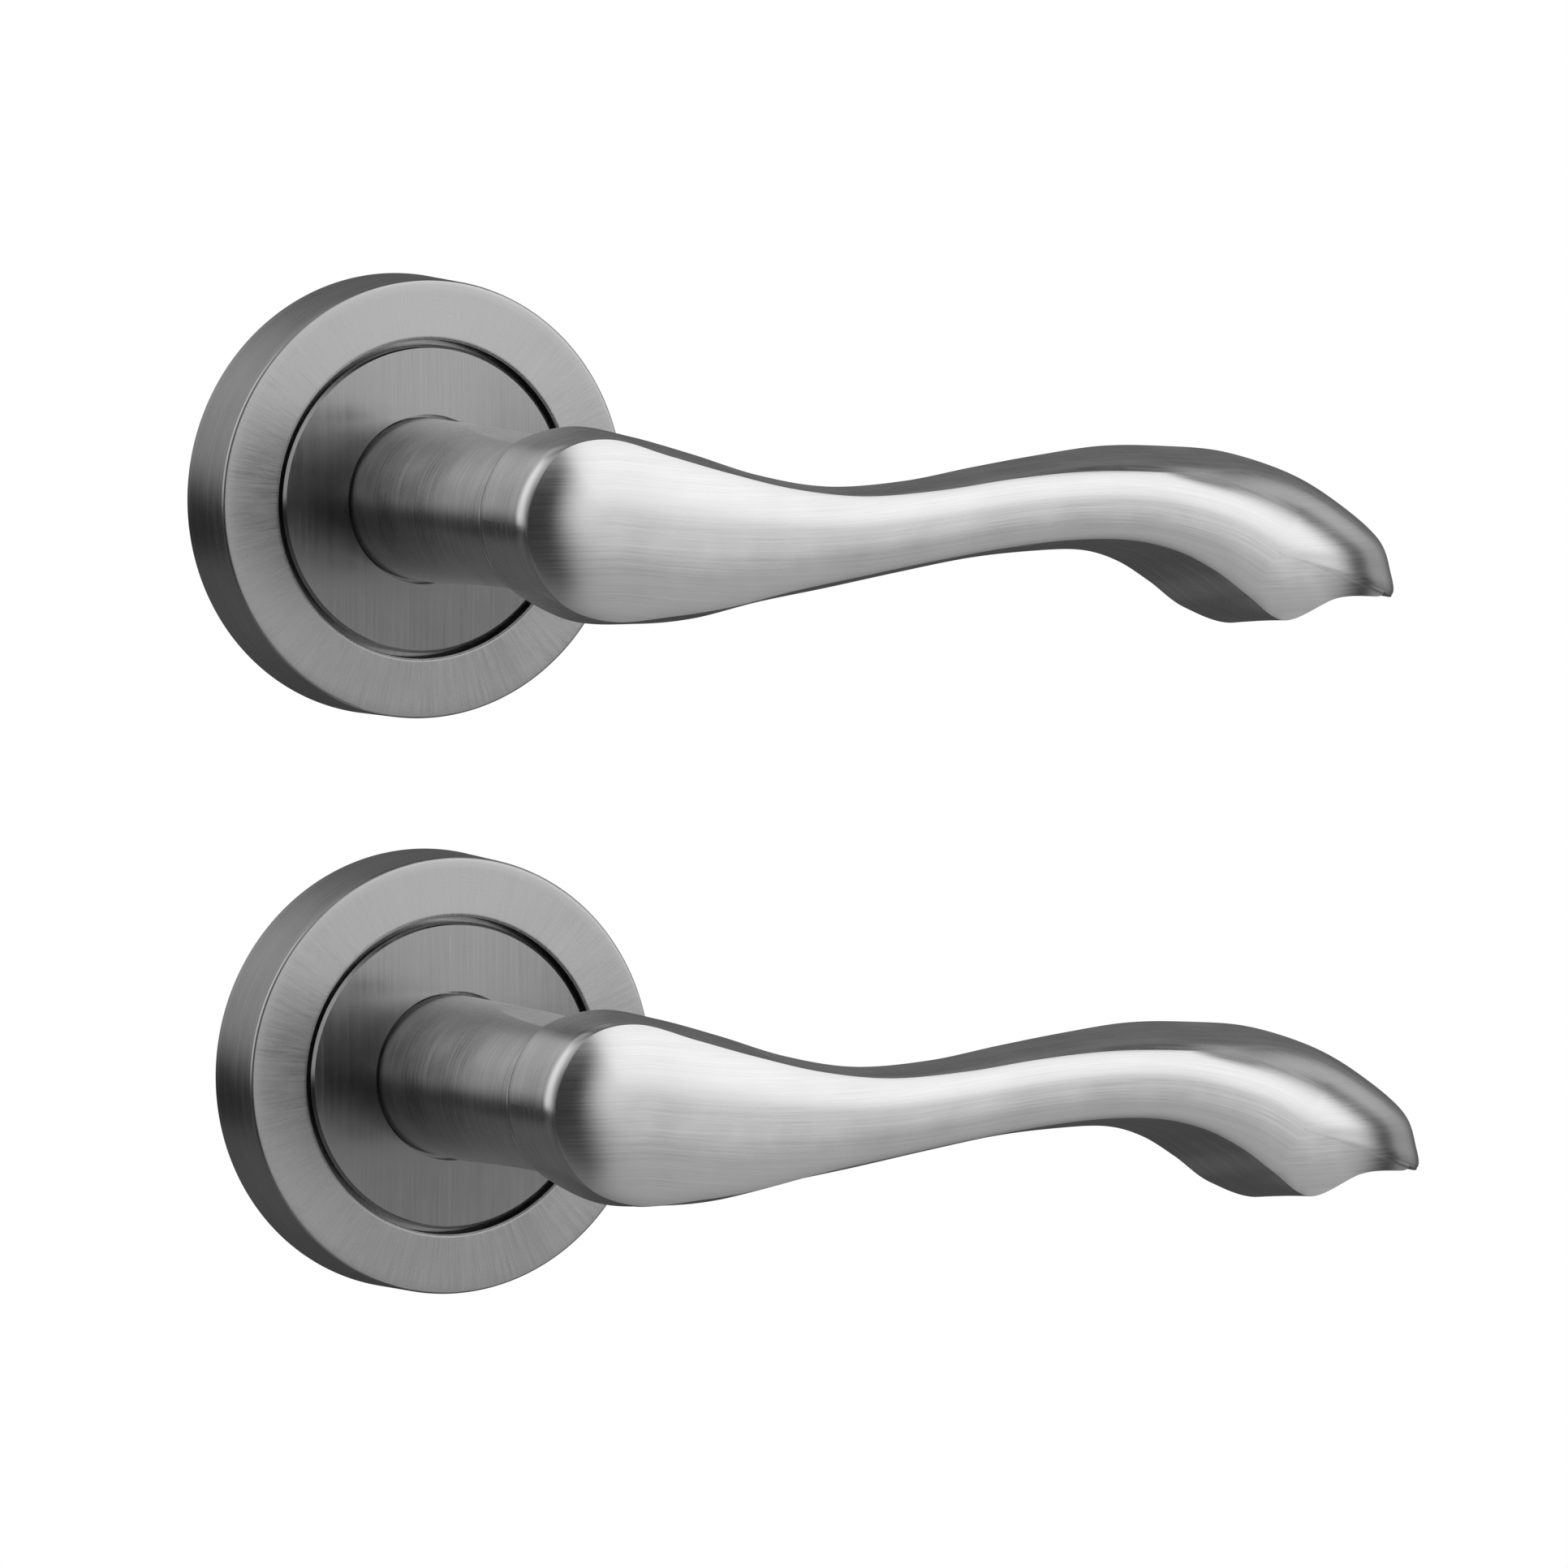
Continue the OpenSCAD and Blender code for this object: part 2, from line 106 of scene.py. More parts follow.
FULL_ROUND = 0.9998    # share of the radius that counts as no relief at all
NECK_ARC_POINTS = 40   # points on each round side
NECK_FLAT_POINTS = 28  # points on each relief

# Lever outline: [x, z] rows from the bulb's left end to the tip
FRONT_LEFT = [-8.3, -0.2]
FRONT_TOP = [
    [-6.9, 5.1], [-3.4, 9], [2.5, 9.9], [10, 7.7], [17.5, 5.5], [26, 3.4],
    [35, 2.3], [45, 2.7], [54.5, 3.7], [63.5, 4.2], [72.5, 3.9], [81, 3],
    [88.5, 1.3], [94, -1.2], [98.6, -4.4], [101.4, -8.2], [102, -10.3],
]
FRONT_BOTTOM = [
    [-6.9, -5.4], [-3.4, -9.6], [2.5, -11.5], [10, -11.1], [17.5, -10.2], [26, -8.5],
    [35, -7], [44.5, -5.5], [54, -4.3], [62.5, -3.7], [70.5, -4], [77, -5.5],
    [82.5, -8.1], [87, -11.2], [91.2, -14.1], [95.4, -13], [99.1, -12.2],
]
FRONT_TIP = [101.8, -11.6]
BACK_LEFT = [-9.8, 0.3]
BACK_TOP = [
    [-8.4, 5.5], [-4.8, 9.3], [2, 10.8], [9.5, 9.4], [17.5, 7.1], [26, 4.4],
    [35, 2.8], [45, 3.1], [54.5, 4.4], [63.5, 5.5], [72.5, 6.3], [81, 6],
    [89, 5.1], [97, 2.5], [103.9, -1.6], [108.9, -5.8], [110.5, -9.7],
]
BACK_BOTTOM = [
    [-8.3, -5.1], [-4.9, -8.7], [2, -12], [10, -12.6], [17.5, -12.2], [26, -10.5],
    [35, -9.1], [44.5, -7.6], [54, -6.3], [62.5, -5.8], [69.5, -5.9], [74.5, -7.3],
    [79, -9.9], [84, -13.3], [91, -15.3], [99, -12.1], [107, -12.3],
]
BACK_TIP = [110.7, -12.6]
OUTLINE_STEPS = 14
PROJECTION = 58
RETURN_BEND = 6.3
BEND_START = 30
BEND_REACH = 72
BACK_DEPTH = 10.4
BACK_IN = 5.1
BACK_REACH = 62
CROWN = 1.5
BULB_INDEX = 3 * OUTLINE_STEPS
TIP_INDEX = 14 * OUTLINE_STEPS
BACK_BULGE = 0.7

# Wall of the lever
STRIP_X = (-4, 6)      # the bulb's end, where the wall widens most just behind the front
STRIP_SHARE = 0.6      # how much more it widens there
STRIP_DEPTH = 0.12     # share of the wall's depth that takes
BEVEL_X = (20, 50)     # where the bevel on the top edge sets in
BEVEL_RISE = 0.9
BEVEL_MOST = 0.6       # its largest share of the wall's own rise
BEVEL_DEPTH = 0.09     # share of the wall's depth that it takes
BEVEL_POWER = 1.1

# Roll-over of the far end: one superellipse from the middle line to the back outline
ROLL_TOP_X = (74, 97)  # where it takes over along the top edge
ROLL_LOW_X = (93, 101)  # and along the lower edge
EDGE_ROLL = 0.05       # share of it along the rest of the lever's edge
ROLL_POWER = 0.84      # how early it starts
FALL_POWER = 0.9       # how fast it falls
FRONT_SHARE = 0.62     # share of it that belongs to the front
FRONT_EASE = 1.7

# Crisp cut along the far end's lower edge, in points of the outline from the bulb
CUT_FROM = (14.8, 15.9)
CUT_TO = 18
CUT_FADE = 1.2
CUT_INSET = 0.05       # the back lies this far inside the cut edge, as a share
CUT_LEAN = 0.3         # share of the crown that the front loses at the cut
CUT_WALL_LEAST = 0.1   # least depth of the cut's wall

# Return spring: a coil from its fixed leg in the housing to the leg on the driver's ear
WIRE_R = 0.6
WIRE_SIDES = 16
WIRE_ROWS = 200
COIL_R = 11.2
FIXED_LEG_R = 13.1
MOVING_LEG_R = 12.1    # small enough to pass inside the lower stop when wound up
LEG_REACH = 25
LEG_ANGLES = (125.4, 796.8)
COIL_Y = (6.1, 3.4)

WELD_REACH = 0.0005    # points closer than this are joined

# Floor, in metres
FLOOR_HALF = 6.0
FLOOR_DROP = 1.6

# Camera
CAM_AZIMUTH = -25.0
CAM_ELEVATION = 4.6
CAM_DISTANCE = 3000
CAM_TARGET = (51.55, 0, -36.25)
VIEW_WIDTH = 187.3     # width of the view at the target
SENSOR_WIDTH = 36


# ---------------------------------------------------------------- small helpers
def smooth(value, low=0.0, high=1.0):
    """Smooth step from 0 to 1 as value goes from low to high."""
    t = np.clip((np.asarray(value, float) - low) / (high - low), 0, 1)
    return t * t * (3 - 2 * t)


def face_height(r):
    """Distance of the rose's face from the door at a radius."""
    return ROSE_T + (RIM_R - r) * math.tan(FACE_SLOPE)


def axis_of(handle):
    """Point where a handle's spindle axis meets the door, in metres."""
    low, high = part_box(handle + "_cover_ring")
    return Vector(((low.x + high.x) / 2, 0, (low.z + high.z) / 2))


def grid_mesh(name, rings, origin, uv_rows, face_uv, caps, materials, face_material):
    """A closed skin through rings of equal length, given in millimetres about the axis.

    rings is (k, n, 3). uv_rows is a dictionary of (k, n + 1, 2) arrays. face_uv(k) says
    which one the faces between rings k and k + 1 take, and face_material(k) which material.
    caps says how an end closes: "fan" is one face, and "ladder" is quads from side to side.
    """
    rings = np.asarray(rings, float)
    count, n, _ = rings.shape
    verts = (rings.reshape(-1, 3) * MM + np.array(origin)).tolist()
    faces, uvs, slots = [], [], []
    for k in range(count - 1):
        uv = uv_rows[face_uv(k)]
        slot = face_material(k)
        for i in range(n):
            j = (i + 1) % n
            a, b = k * n, (k + 1) * n
            faces.append((a + i, b + i, b + j, a + j))
            uvs.append((uv[k, i], uv[k + 1, i], uv[k + 1, i + 1], uv[k, i + 1]))
            slots.append(slot)
    for end, style in caps.items():
        row, beside = (0, 0) if end == "first" else (count - 1, count - 2)
        uv = uv_rows[face_uv(beside)]
        if style == "fan":
            polygons = [list(range(n))]
        else:
            polygons = [[i, i + 1, n - i - 1, n - i] for i in range(1, n // 2 - 1)]
            polygons.insert(0, [0, 1, n - 1])
            polygons.append([n // 2 - 1, n // 2, n // 2 + 1])
        for polygon in polygons:
            if end == "last":
                polygon.reverse()
            faces.append(tuple(row * n + i for i in polygon))
            uvs.append(tuple(uv[row, i] for i in polygon))
            slots.append(face_material(beside))
    mesh = bpy.data.meshes.new(name)
    mesh.from_pydata(verts, [], faces)
    layer = mesh.uv_layers.new(name="brush")
    flat = np.array([c for face in uvs for c in face], float).ravel()
    layer.data.foreach_set("uv", flat)
    for material in materials:
        mesh.materials.append(material)
    mesh.polygons.foreach_set("material_index", slots)
    mesh.polygons.foreach_set("use_smooth", [True] * len(faces))
    mesh.validate()
    mesh.update()
    piece = bpy.data.objects.new(name, mesh)
    bpy.context.collection.objects.link(piece)
    return piece


def sharpen(piece, degrees):
    """Marks the edges sharper than an angle, so that they shade as edges."""
    piece.data.set_sharp_from_angle(angle=math.radians(degrees))


def face_out(piece, weld=False):
    """Turns the skin's normals outwards. weld first joins points that lie on each other."""
    work = bmesh.new()
    work.from_mesh(piece.data)
    if weld:
        bmesh.ops.remove_doubles(work, verts=work.verts, dist=WELD_REACH * MM)
    bmesh.ops.recalc_face_normals(work, faces=work.faces)
    work.to_mesh(piece.data)
    work.free()


# ---------------------------------------------------------------- node helpers
NOISE_RANGE = (0.3, 0.7)   # where nearly all of a noise texture's values lie
CONTRAST = 0.13            # how far a metal's tone strays from its mean, as a share
FINE_SHARE = 0.62          # fine streaks against broad ones
BROAD_SCALE = 0.28         # the broad streaks' scale against the fine ones'
CROSS_RANGE = (0.56, 0.78)  # the crossing scratches are the noise above this
CLOUD_SCALE = 0.11         # slow clouds in tone and gloss, per millimetre
CLOUD_ROUGHNESS = 0.03
PIT_SCALE = 0.17           # cells per millimetre, each with one pit or none
PIT_EDGE = (0.010, 0.026)
PIT_SHARE = 0.45           # share of the cells that have no pit


class Graph:
    """Short calls for building one node tree."""

    def __init__(self, tree):
        self.tree = tree

    def add(self, kind, settings=None, **inputs):
        node = self.tree.nodes.new(kind)
        for key, value in (settings or {}).items():
            setattr(node, key, value)
        for key, value in inputs.items():
            self.feed(node.inputs[key.replace("_", " ")], value)
        return node

    def feed(self, socket, value):
        if isinstance(value, bpy.types.NodeSocket):
            self.tree.links.new(value, socket)
        else:
            socket.default_value = value

    def math(self, operation, a, b=0.0):
        node = self.tree.nodes.new("ShaderNodeMath")
        node.operation = operation
        self.feed(node.inputs[0], a)
        self.feed(node.inputs[1], b)
        return node.outputs[0]

    def ramp(self, value, low, high, to_low=0.0, to_high=1.0, smoothly=True):
        """A value's way from low to high, as to_low to to_high."""
        node = self.tree.nodes.new("ShaderNodeMapRange")
        node.interpolation_type = "SMOOTHSTEP" if smoothly else "LINEAR"
        for key, number in enumerate((value, low, high, to_low, to_high)):
            self.feed(node.inputs[key], number)
        return node.outputs[0]

    def around(self, noise, middle, swing):
        """Noise turned into middle - swing to middle + swing."""
        return self.ramp(noise, *NOISE_RANGE, middle - swing, middle + swing, False)

    def band(self, value, rise, fall):
        """1 between the end of rise and the start of fall, and 0 outside them."""
        up = self.ramp(value, *rise)
        down = self.ramp(value, *fall, 1.0, 0.0)
        return self.math("MULTIPLY", up, down)

    def stretched(self, coords, scale, noise_scale=1.0, detail=3.0, offset=(0, 0, 0)):
        """Noise stretched by a scale for each axis."""
        mapping = self.add("ShaderNodeMapping", Vector=coords, Scale=scale, Location=offset)
        noise = self.add("ShaderNodeTexNoise", Vector=mapping.outputs[0], Scale=noise_scale,
                         Detail=detail, Roughness=0.6)
        return noise.outputs["Fac"]


def new_material(name):
    """A material with a Principled shader, and the graph to build it with."""
    material = bpy.data.materials.new(name)
    material.use_nodes = True
    material.node_tree.nodes.clear()
    graph = Graph(material.node_tree)
    shader = graph.add("ShaderNodeBsdfPrincipled")
    output = graph.add("ShaderNodeOutputMaterial")
    graph.tree.links.new(shader.outputs[0], output.inputs["Surface"])
    return material, graph, shader


def tinted(graph, shader, tone, amount, contrast=CONTRAST):
    """Base colour: the tone, made a little lighter or darker by amount around 0.5."""
    low = [c * (1 - contrast) for c in tone] + [1]
    high = [min(c * (1 + contrast), 1) for c in tone] + [1]
    mix = graph.tree.nodes.new("ShaderNodeMix")
    mix.data_type = "RGBA"
    graph.feed(mix.inputs[0], amount)
    mix.inputs[6].default_value = low
    mix.inputs[7].default_value = high
    graph.tree.links.new(mix.outputs[2], shader.inputs["Base Color"])


def brushed(name, tone, roughness, anisotropy, coords="uv", along=0.16, across=7.0,
            tangent=("UV_MAP", "Y"), turn=0.0, bump=0.3, depth=0.008, cross=0.0, pits=False,
            spread=0.06, swap=False, contrast=CONTRAST):
    """Satin metal with brush lines.

    coords is "uv", where u and v are millimetres along and across the brush lines (or the
    other way round with swap), and along and across are the streaks' scales per millimetre.
    Or it is "object", for a CAD node: along and across are then the scales along x, y and z
    of the streaks and of the lines that cross them. spread is the roughness's swing.
    """
    material, graph, shader = new_material(name)
    if coords == "uv":
        base = graph.add("ShaderNodeUVMap", {"uv_map": "brush"}).outputs[0]
        scales = (across, along, 1) if swap else (along, across, 1)
        other = (along * 2, across * 0.8, 1) if swap else (across * 0.8, along * 2, 1)
    else:
        raw = graph.add("ShaderNodeTexCoord").outputs["Object"]
        base = graph.add("ShaderNodeVectorMath", {"operation": "SCALE"}, Vector=raw,
                         Scale=1 / MM).outputs[0]
        scales, other = along, across
    fine = graph.stretched(base, scales, 1.0, 4.0)
    broad = graph.stretched(base, tuple(c * BROAD_SCALE for c in scales), 1.0, 2.0,
                            (7.3, 2.1, 0.4))
    cloud = graph.stretched(base, (CLOUD_SCALE,) * 3, 1.0, 2.0, (3.1, 8.2, 1.7))
    lines = graph.math("ADD", graph.math("MULTIPLY", fine, FINE_SHARE),
                       graph.math("MULTIPLY", broad, 1 - FINE_SHARE))
    height = lines
    if cross > 0:
        crossing = graph.stretched(base, other, 1.0, 3.0, (1.9, 5.4, 0.2))
        crossing = graph.ramp(crossing, *CROSS_RANGE)
        height = graph.math("SUBTRACT", lines, graph.math("MULTIPLY", crossing, cross))
    tone_amount = graph.math("ADD", graph.around(lines, 0.5, 0.3), graph.around(cloud, 0, 0.12))
    if pits:
        cell = graph.add("ShaderNodeTexVoronoi", {"feature": "F1"}, Vector=base,
                         Scale=PIT_SCALE)
        spot = graph.ramp(cell.outputs["Distance"], *PIT_EDGE, 1.0, 0.0)
        chosen = graph.math("GREATER_THAN", cell.outputs["Color"], PIT_SHARE)
        spot = graph.math("MULTIPLY", spot, chosen)
        height = graph.math("SUBTRACT", height, graph.math("MULTIPLY", spot, 2.0))
        tone_amount = graph.math("SUBTRACT", tone_amount, graph.math("MULTIPLY", spot, 3.0))
    tinted(graph, shader, tone, tone_amount, contrast)
    rough = graph.math("ADD", graph.around(lines, roughness, spread),
                       graph.around(cloud, 0, CLOUD_ROUGHNESS))
    graph.feed(shader.inputs["Roughness"], rough)
    shader.inputs["Metallic"].default_value = 1
    shader.inputs["Anisotropic"].default_value = anisotropy
    shader.inputs["Anisotropic Rotation"].default_value = turn
    direction, axis = tangent
    node = graph.add("ShaderNodeTangent", {"direction_type": direction})
    if direction == "UV_MAP":
        node.uv_map = "brush"
    else:
        node.axis = axis
    graph.tree.links.new(node.outputs[0], shader.inputs["Tangent"])
    bumper = graph.add("ShaderNodeBump", Strength=bump, Distance=depth * MM, Height=height)
    graph.tree.links.new(bumper.outputs[0], shader.inputs["Normal"])
    return material


def plated(name, tone, roughness, metallic=1.0, grain=(0.9, 0.9, 0.9), bump=0.25, depth=0.01):
    """Small hardware and plastic: mottled tone, uneven gloss and a fine grain."""
    material, graph, shader = new_material(name)
    raw = graph.add("ShaderNodeTexCoord").outputs["Object"]
    base = graph.add("ShaderNodeVectorMath", {"operation": "SCALE"}, Vector=raw,
                     Scale=1 / MM).outputs[0]
    fine = graph.stretched(base, grain, 3.0, 4.0)
    cloud = graph.stretched(base, (0.35, 0.35, 0.35), 1.0, 2.0, (4.2, 1.1, 6.3))
    tinted(graph, shader, tone, graph.math("ADD", graph.around(fine, 0.5, 0.25),
                                           graph.around(cloud, 0, 0.2)))
    graph.feed(shader.inputs["Roughness"], graph.around(cloud, roughness + 0.01, 0.07))
    shader.inputs["Metallic"].default_value = metallic
    bumper = graph.add("ShaderNodeBump", Strength=bump, Distance=depth * MM, Height=fine)
    graph.tree.links.new(bumper.outputs[0], shader.inputs["Normal"])
    return material


LEVER_TONE = (0.73, 0.73, 0.73)
NECK_TONE = (0.78, 0.78, 0.78)
ROSE_TONE = (0.52, 0.52, 0.52)
# The boss's tone is partly its own darker metal and partly painted shade, for the shade that
# the neck and lever cast on it
BOSS_TONE_AND_SHADE = (0.34, 0.34, 0.34)
FRONT_METAL = brushed("lever_front_brushed", LEVER_TONE, 0.24, 0.5, along=0.12, across=13.0,
                      turn=0.25, bump=0.4, cross=0.25, pits=True, spread=0.05, contrast=0.2)
WALL_METAL = brushed("lever_wall_brushed", LEVER_TONE, 0.28, 0.5, along=0.12, across=6.0,
                     turn=0.25, bump=0.4, spread=0.05, contrast=0.25)
NECK_METAL = brushed("neck_brushed", NECK_TONE, 0.3, 0.8, along=0.1, across=8.0,
                     turn=0.25, bump=0.35, spread=0.06, contrast=0.22)
FACE_METAL = brushed("ring_face_brushed", ROSE_TONE, 0.28, 0.4, along=0.22, across=7.0,
                     swap=True, bump=0.45, cross=0.45, spread=0.06, contrast=0.22)
RIM_METAL = brushed("ring_rim_brushed", ROSE_TONE, 0.28, 0.5, along=0.08, across=7.0,
                    turn=0.25, bump=0.35, spread=0.05, contrast=0.25)
# Boss metal: brushed, with painted shade in its darker base colour
BOSS_METAL_AND_SHADE = brushed("boss_brushed_and_shade", BOSS_TONE_AND_SHADE, 0.2, 0.6, coords="object",
                     along=(6.0, 0.3, 0.1), across=(0.3, 0.3, 5.0),
                     tangent=("RADIAL", "Z"), bump=0.4, cross=0.2, spread=0.05,
                     contrast=0.25)
ZINC = plated("zinc_plate", (0.7, 0.71, 0.73), 0.3)
DRAWN = plated("zinc_drawn_bar", (0.7, 0.71, 0.73), 0.32, grain=(3.0, 0.12, 3.0), bump=0.4)
SPRING = plated("spring_wire", (0.42, 0.42, 0.44), 0.34)
BLACK = plated("black_oxide", (0.05, 0.05, 0.052), 0.42, metallic=0.9)
NYLON = plated("moulded_nylon", (0.84, 0.84, 0.8), 0.45, metallic=0.0, bump=0.15)


# ---------------------------------------------------------------- lever grip
def closed_curve(points):
    """Catmull-Rom curve through a closed list of points."""
    p = np.array(points, float)
    n = len(p)
    t = (np.arange(OUTLINE_STEPS) / OUTLINE_STEPS)[:, None]
    out = []
    for i in range(n):
        a, b, c, d = p[i - 1], p[i], p[(i + 1) % n], p[(i + 2) % n]
        out.append((2 * b + (c - a) * t + (2 * a - 5 * b + 4 * c - d) * t ** 2
                    + (3 * b - a - 3 * c + d) * t ** 3) / 2)
    return np.concatenate(out)


def front_off(x):
    """Distance of the front's outline from the door."""
    return PROJECTION - RETURN_BEND * (np.maximum(x - BEND_START, 0) / BEND_REACH) ** 2


def back_off(x):
    """Distance of the back's outline from the door."""
    return PROJECTION - BACK_DEPTH - BACK_IN * smooth((x - BEND_START) / BACK_REACH)


def grip(handle, origin):
    """The bulb and the grip: a crowned front, walls, and a slightly rounded back."""
    front = closed_curve([FRONT_LEFT] + FRONT_TOP + [FRONT_TIP] + FRONT_BOTTOM[::-1])
    back = closed_curve([BACK_LEFT] + BACK_TOP + [BACK_TIP] + BACK_BOTTOM[::-1])
    n = len(front)
    index = np.arange(n)
    partner = (n - index) % n
    upper = index <= n // 2
    k = np.clip(np.minimum(index, partner), BULB_INDEX, TIP_INDEX)
    spine = (front[k] + front[n - k]) / 2
    half_width = np.linalg.norm(front[k] - spine, axis=1)
    crown = CROWN * half_width / half_width[BULB_INDEX]

    # How far the section is one smooth roll-over instead of a front, a ridge and a wall
    x = front[:, 0]
    roll_top = EDGE_ROLL + (1 - EDGE_ROLL) * smooth(x, *ROLL_TOP_X)
    roll_low = EDGE_ROLL + (1 - EDGE_ROLL) * smooth(x, *ROLL_LOW_X)
    roll = np.where(upper, roll_top, roll_low)
    shoulder = 1 - smooth(x, *STRIP_X)
    spread = np.linalg.norm(back - front, axis=1)
    bevel = np.where(upper, smooth(x, *BEVEL_X) * (1 - roll_top), 0)
    bevel = bevel * np.minimum(BEVEL_RISE / spread, BEVEL_MOST)

    # The far end's lower edge is a crisp cut through the roll-over
    place = np.where(upper, 0, (n - index) / OUTLINE_STEPS)
    cut = smooth(place, *CUT_FROM)
    crisp = smooth(CUT_TO - place, 0.0, CUT_FADE)[:, None]
    end_x = spine[n // 2, 0]
    end_fall = front_off(BACK_TIP[0]) + crown - back_off(BACK_TIP[0])

    def sheet_off(plan_x):
        """Distance from the door of the front as it rolls over towards the tip."""
        u = np.clip((plan_x - end_x) / (BACK_TIP[0] - end_x), 0, 1)
        deep = 1 - np.cos(np.arcsin(u ** (1 / ROLL_POWER))) ** FALL_POWER
        return front_off(plan_x) + crown - end_fall * deep

    # Rows of points: s runs from the middle line to the edge, and q down the wall. They lie
    # closer together where the surface turns.
    front_s = np.concatenate([np.linspace(0.03, 0.93, 22), [0.955, 0.975, 0.989, 0.997]])
    wall_q = np.concatenate([[0.0, 0.008, 0.02, 0.04], np.linspace(0.07, 0.93, 18),
                             [0.965, 0.985, 1.0]])
    back_s = (0.99, 0.97, 0.94, 0.89, 0.8, 0.66, 0.5, 0.32, 0.14, 0.04)
    rings = []

    depth_front = front_off(x)
    depth_back = back_off(back[:, 0])
    fall = front_off(back[:, 0]) + crown - depth_back

    def round_section(t):
        """Superellipse from the spine to the back outline: t from 0 to 1."""
        angle = t * math.pi / 2
        out = math.sin(angle) ** ROLL_POWER
        deep = 1 - math.cos(angle) ** FALL_POWER
        plan = spine + (back - spine) * out
        return plan, front_off(plan[:, 0]) + crown - fall * deep

    for s in front_s:
        plan = spine + (front - spine) * s
        off = front_off(plan[:, 0]) + crown * (1 - s ** 3)
        t = FRONT_SHARE * s ** FRONT_EASE
        round_plan, round_off = round_section(t)
        plan = plan + (round_plan - plan) * roll[:, None]
        off = off + (round_off - off) * roll
        rolled = math.sin(t * math.pi / 2) ** ROLL_POWER
        cut_plan = spine + (back - spine) * (rolled + (s - rolled) * crisp)
        cut_off = sheet_off(cut_plan[:, 0]) - CUT_LEAN * crown * s ** 3 * crisp[:, 0]
        plan = plan + (cut_plan - plan) * cut[:, None]
        off = off + (cut_off - off) * cut
        rings.append(np.column_stack([plan[:, 0], -off, plan[:, 1]]))
    for q in wall_q:
        early = 1 - max(0.0, 1 - q / STRIP_DEPTH) ** 2
        out = q + (early - q) * STRIP_SHARE * shoulder
        lift = bevel * (1 - max(0.0, 1 - q / BEVEL_DEPTH) ** BEVEL_POWER)
        out = out + lift * (1 - out)
        plan = front + (back - front) * out[:, None]
        off = depth_front + (depth_back - depth_front) * q
        t = FRONT_SHARE + (1 - FRONT_SHARE) * q
        round_plan, round_off = round_section(t)
        plan = plan + (round_plan - plan) * roll[:, None]
        off = off + (round_off - off) * roll
        rolled = math.sin(t * math.pi / 2) ** ROLL_POWER
        sheet_plan = spine + (back - spine) * rolled
        cut_plan = back + (spine - back) * CUT_INSET * q
        cut_plan = sheet_plan + (cut_plan - sheet_plan) * crisp
        edge_off = sheet_off(back[:, 0]) - CUT_LEAN * crown
        cut_end = np.minimum(depth_back, edge_off - CUT_WALL_LEAST)
        cut_off = edge_off + (cut_end - edge_off) * q
        sheet = sheet_off(sheet_plan[:, 0])
        cut_off = sheet + (cut_off - sheet) * crisp[:, 0]
        plan = plan + (cut_plan - plan) * cut[:, None]
        off = off + (cut_off - off) * cut
        rings.append(np.column_stack([plan[:, 0], -off, plan[:, 1]]))
    last = rings[-1]
    middle = (last[k] + last[n - k]) / 2
    for s in back_s:
        ring = middle + (last - middle) * s
        ring[:, 1] = BACK_BULGE * (1 - s ** 4) - back_off(ring[:, 0])
        rings.append(ring)
    rings = np.array(rings)
    count = len(rings)

    # Brush lines run along the front, and round the outline on the wall
    spine_z = np.append(spine[:, 1], spine[0, 1])
    closed = np.concatenate([rings, rings[:, :1]], axis=1)
    along_front = np.stack([closed[:, :, 0], closed[:, :, 2] - spine_z[None, :]], axis=2)
    gaps = np.linalg.norm(np.diff(np.vstack([front, front[:1]]), axis=0), axis=1)
    arc = np.concatenate([[0], np.cumsum(gaps)])
    down = np.cumsum(np.concatenate([[0], np.linalg.norm(
        np.diff(rings, axis=0), axis=2).mean(axis=1)]))
    along_wall = np.stack([np.repeat(arc[None, :], count, 0),
                           np.repeat(down[:, None], n + 1, 1)], axis=2)
    edge = len(front_s)
    wall_end = edge + len(wall_q) - 1
    return grid_mesh(
        handle + "_grip", rings, origin,
        {"front": along_front, "wall": along_wall},
        lambda row: "wall" if edge <= row < wall_end else "front",
        {"first": "ladder", "last": "ladder"},
        [FRONT_METAL, WALL_METAL],
        lambda row: 1 if row >= edge else 0,
    )


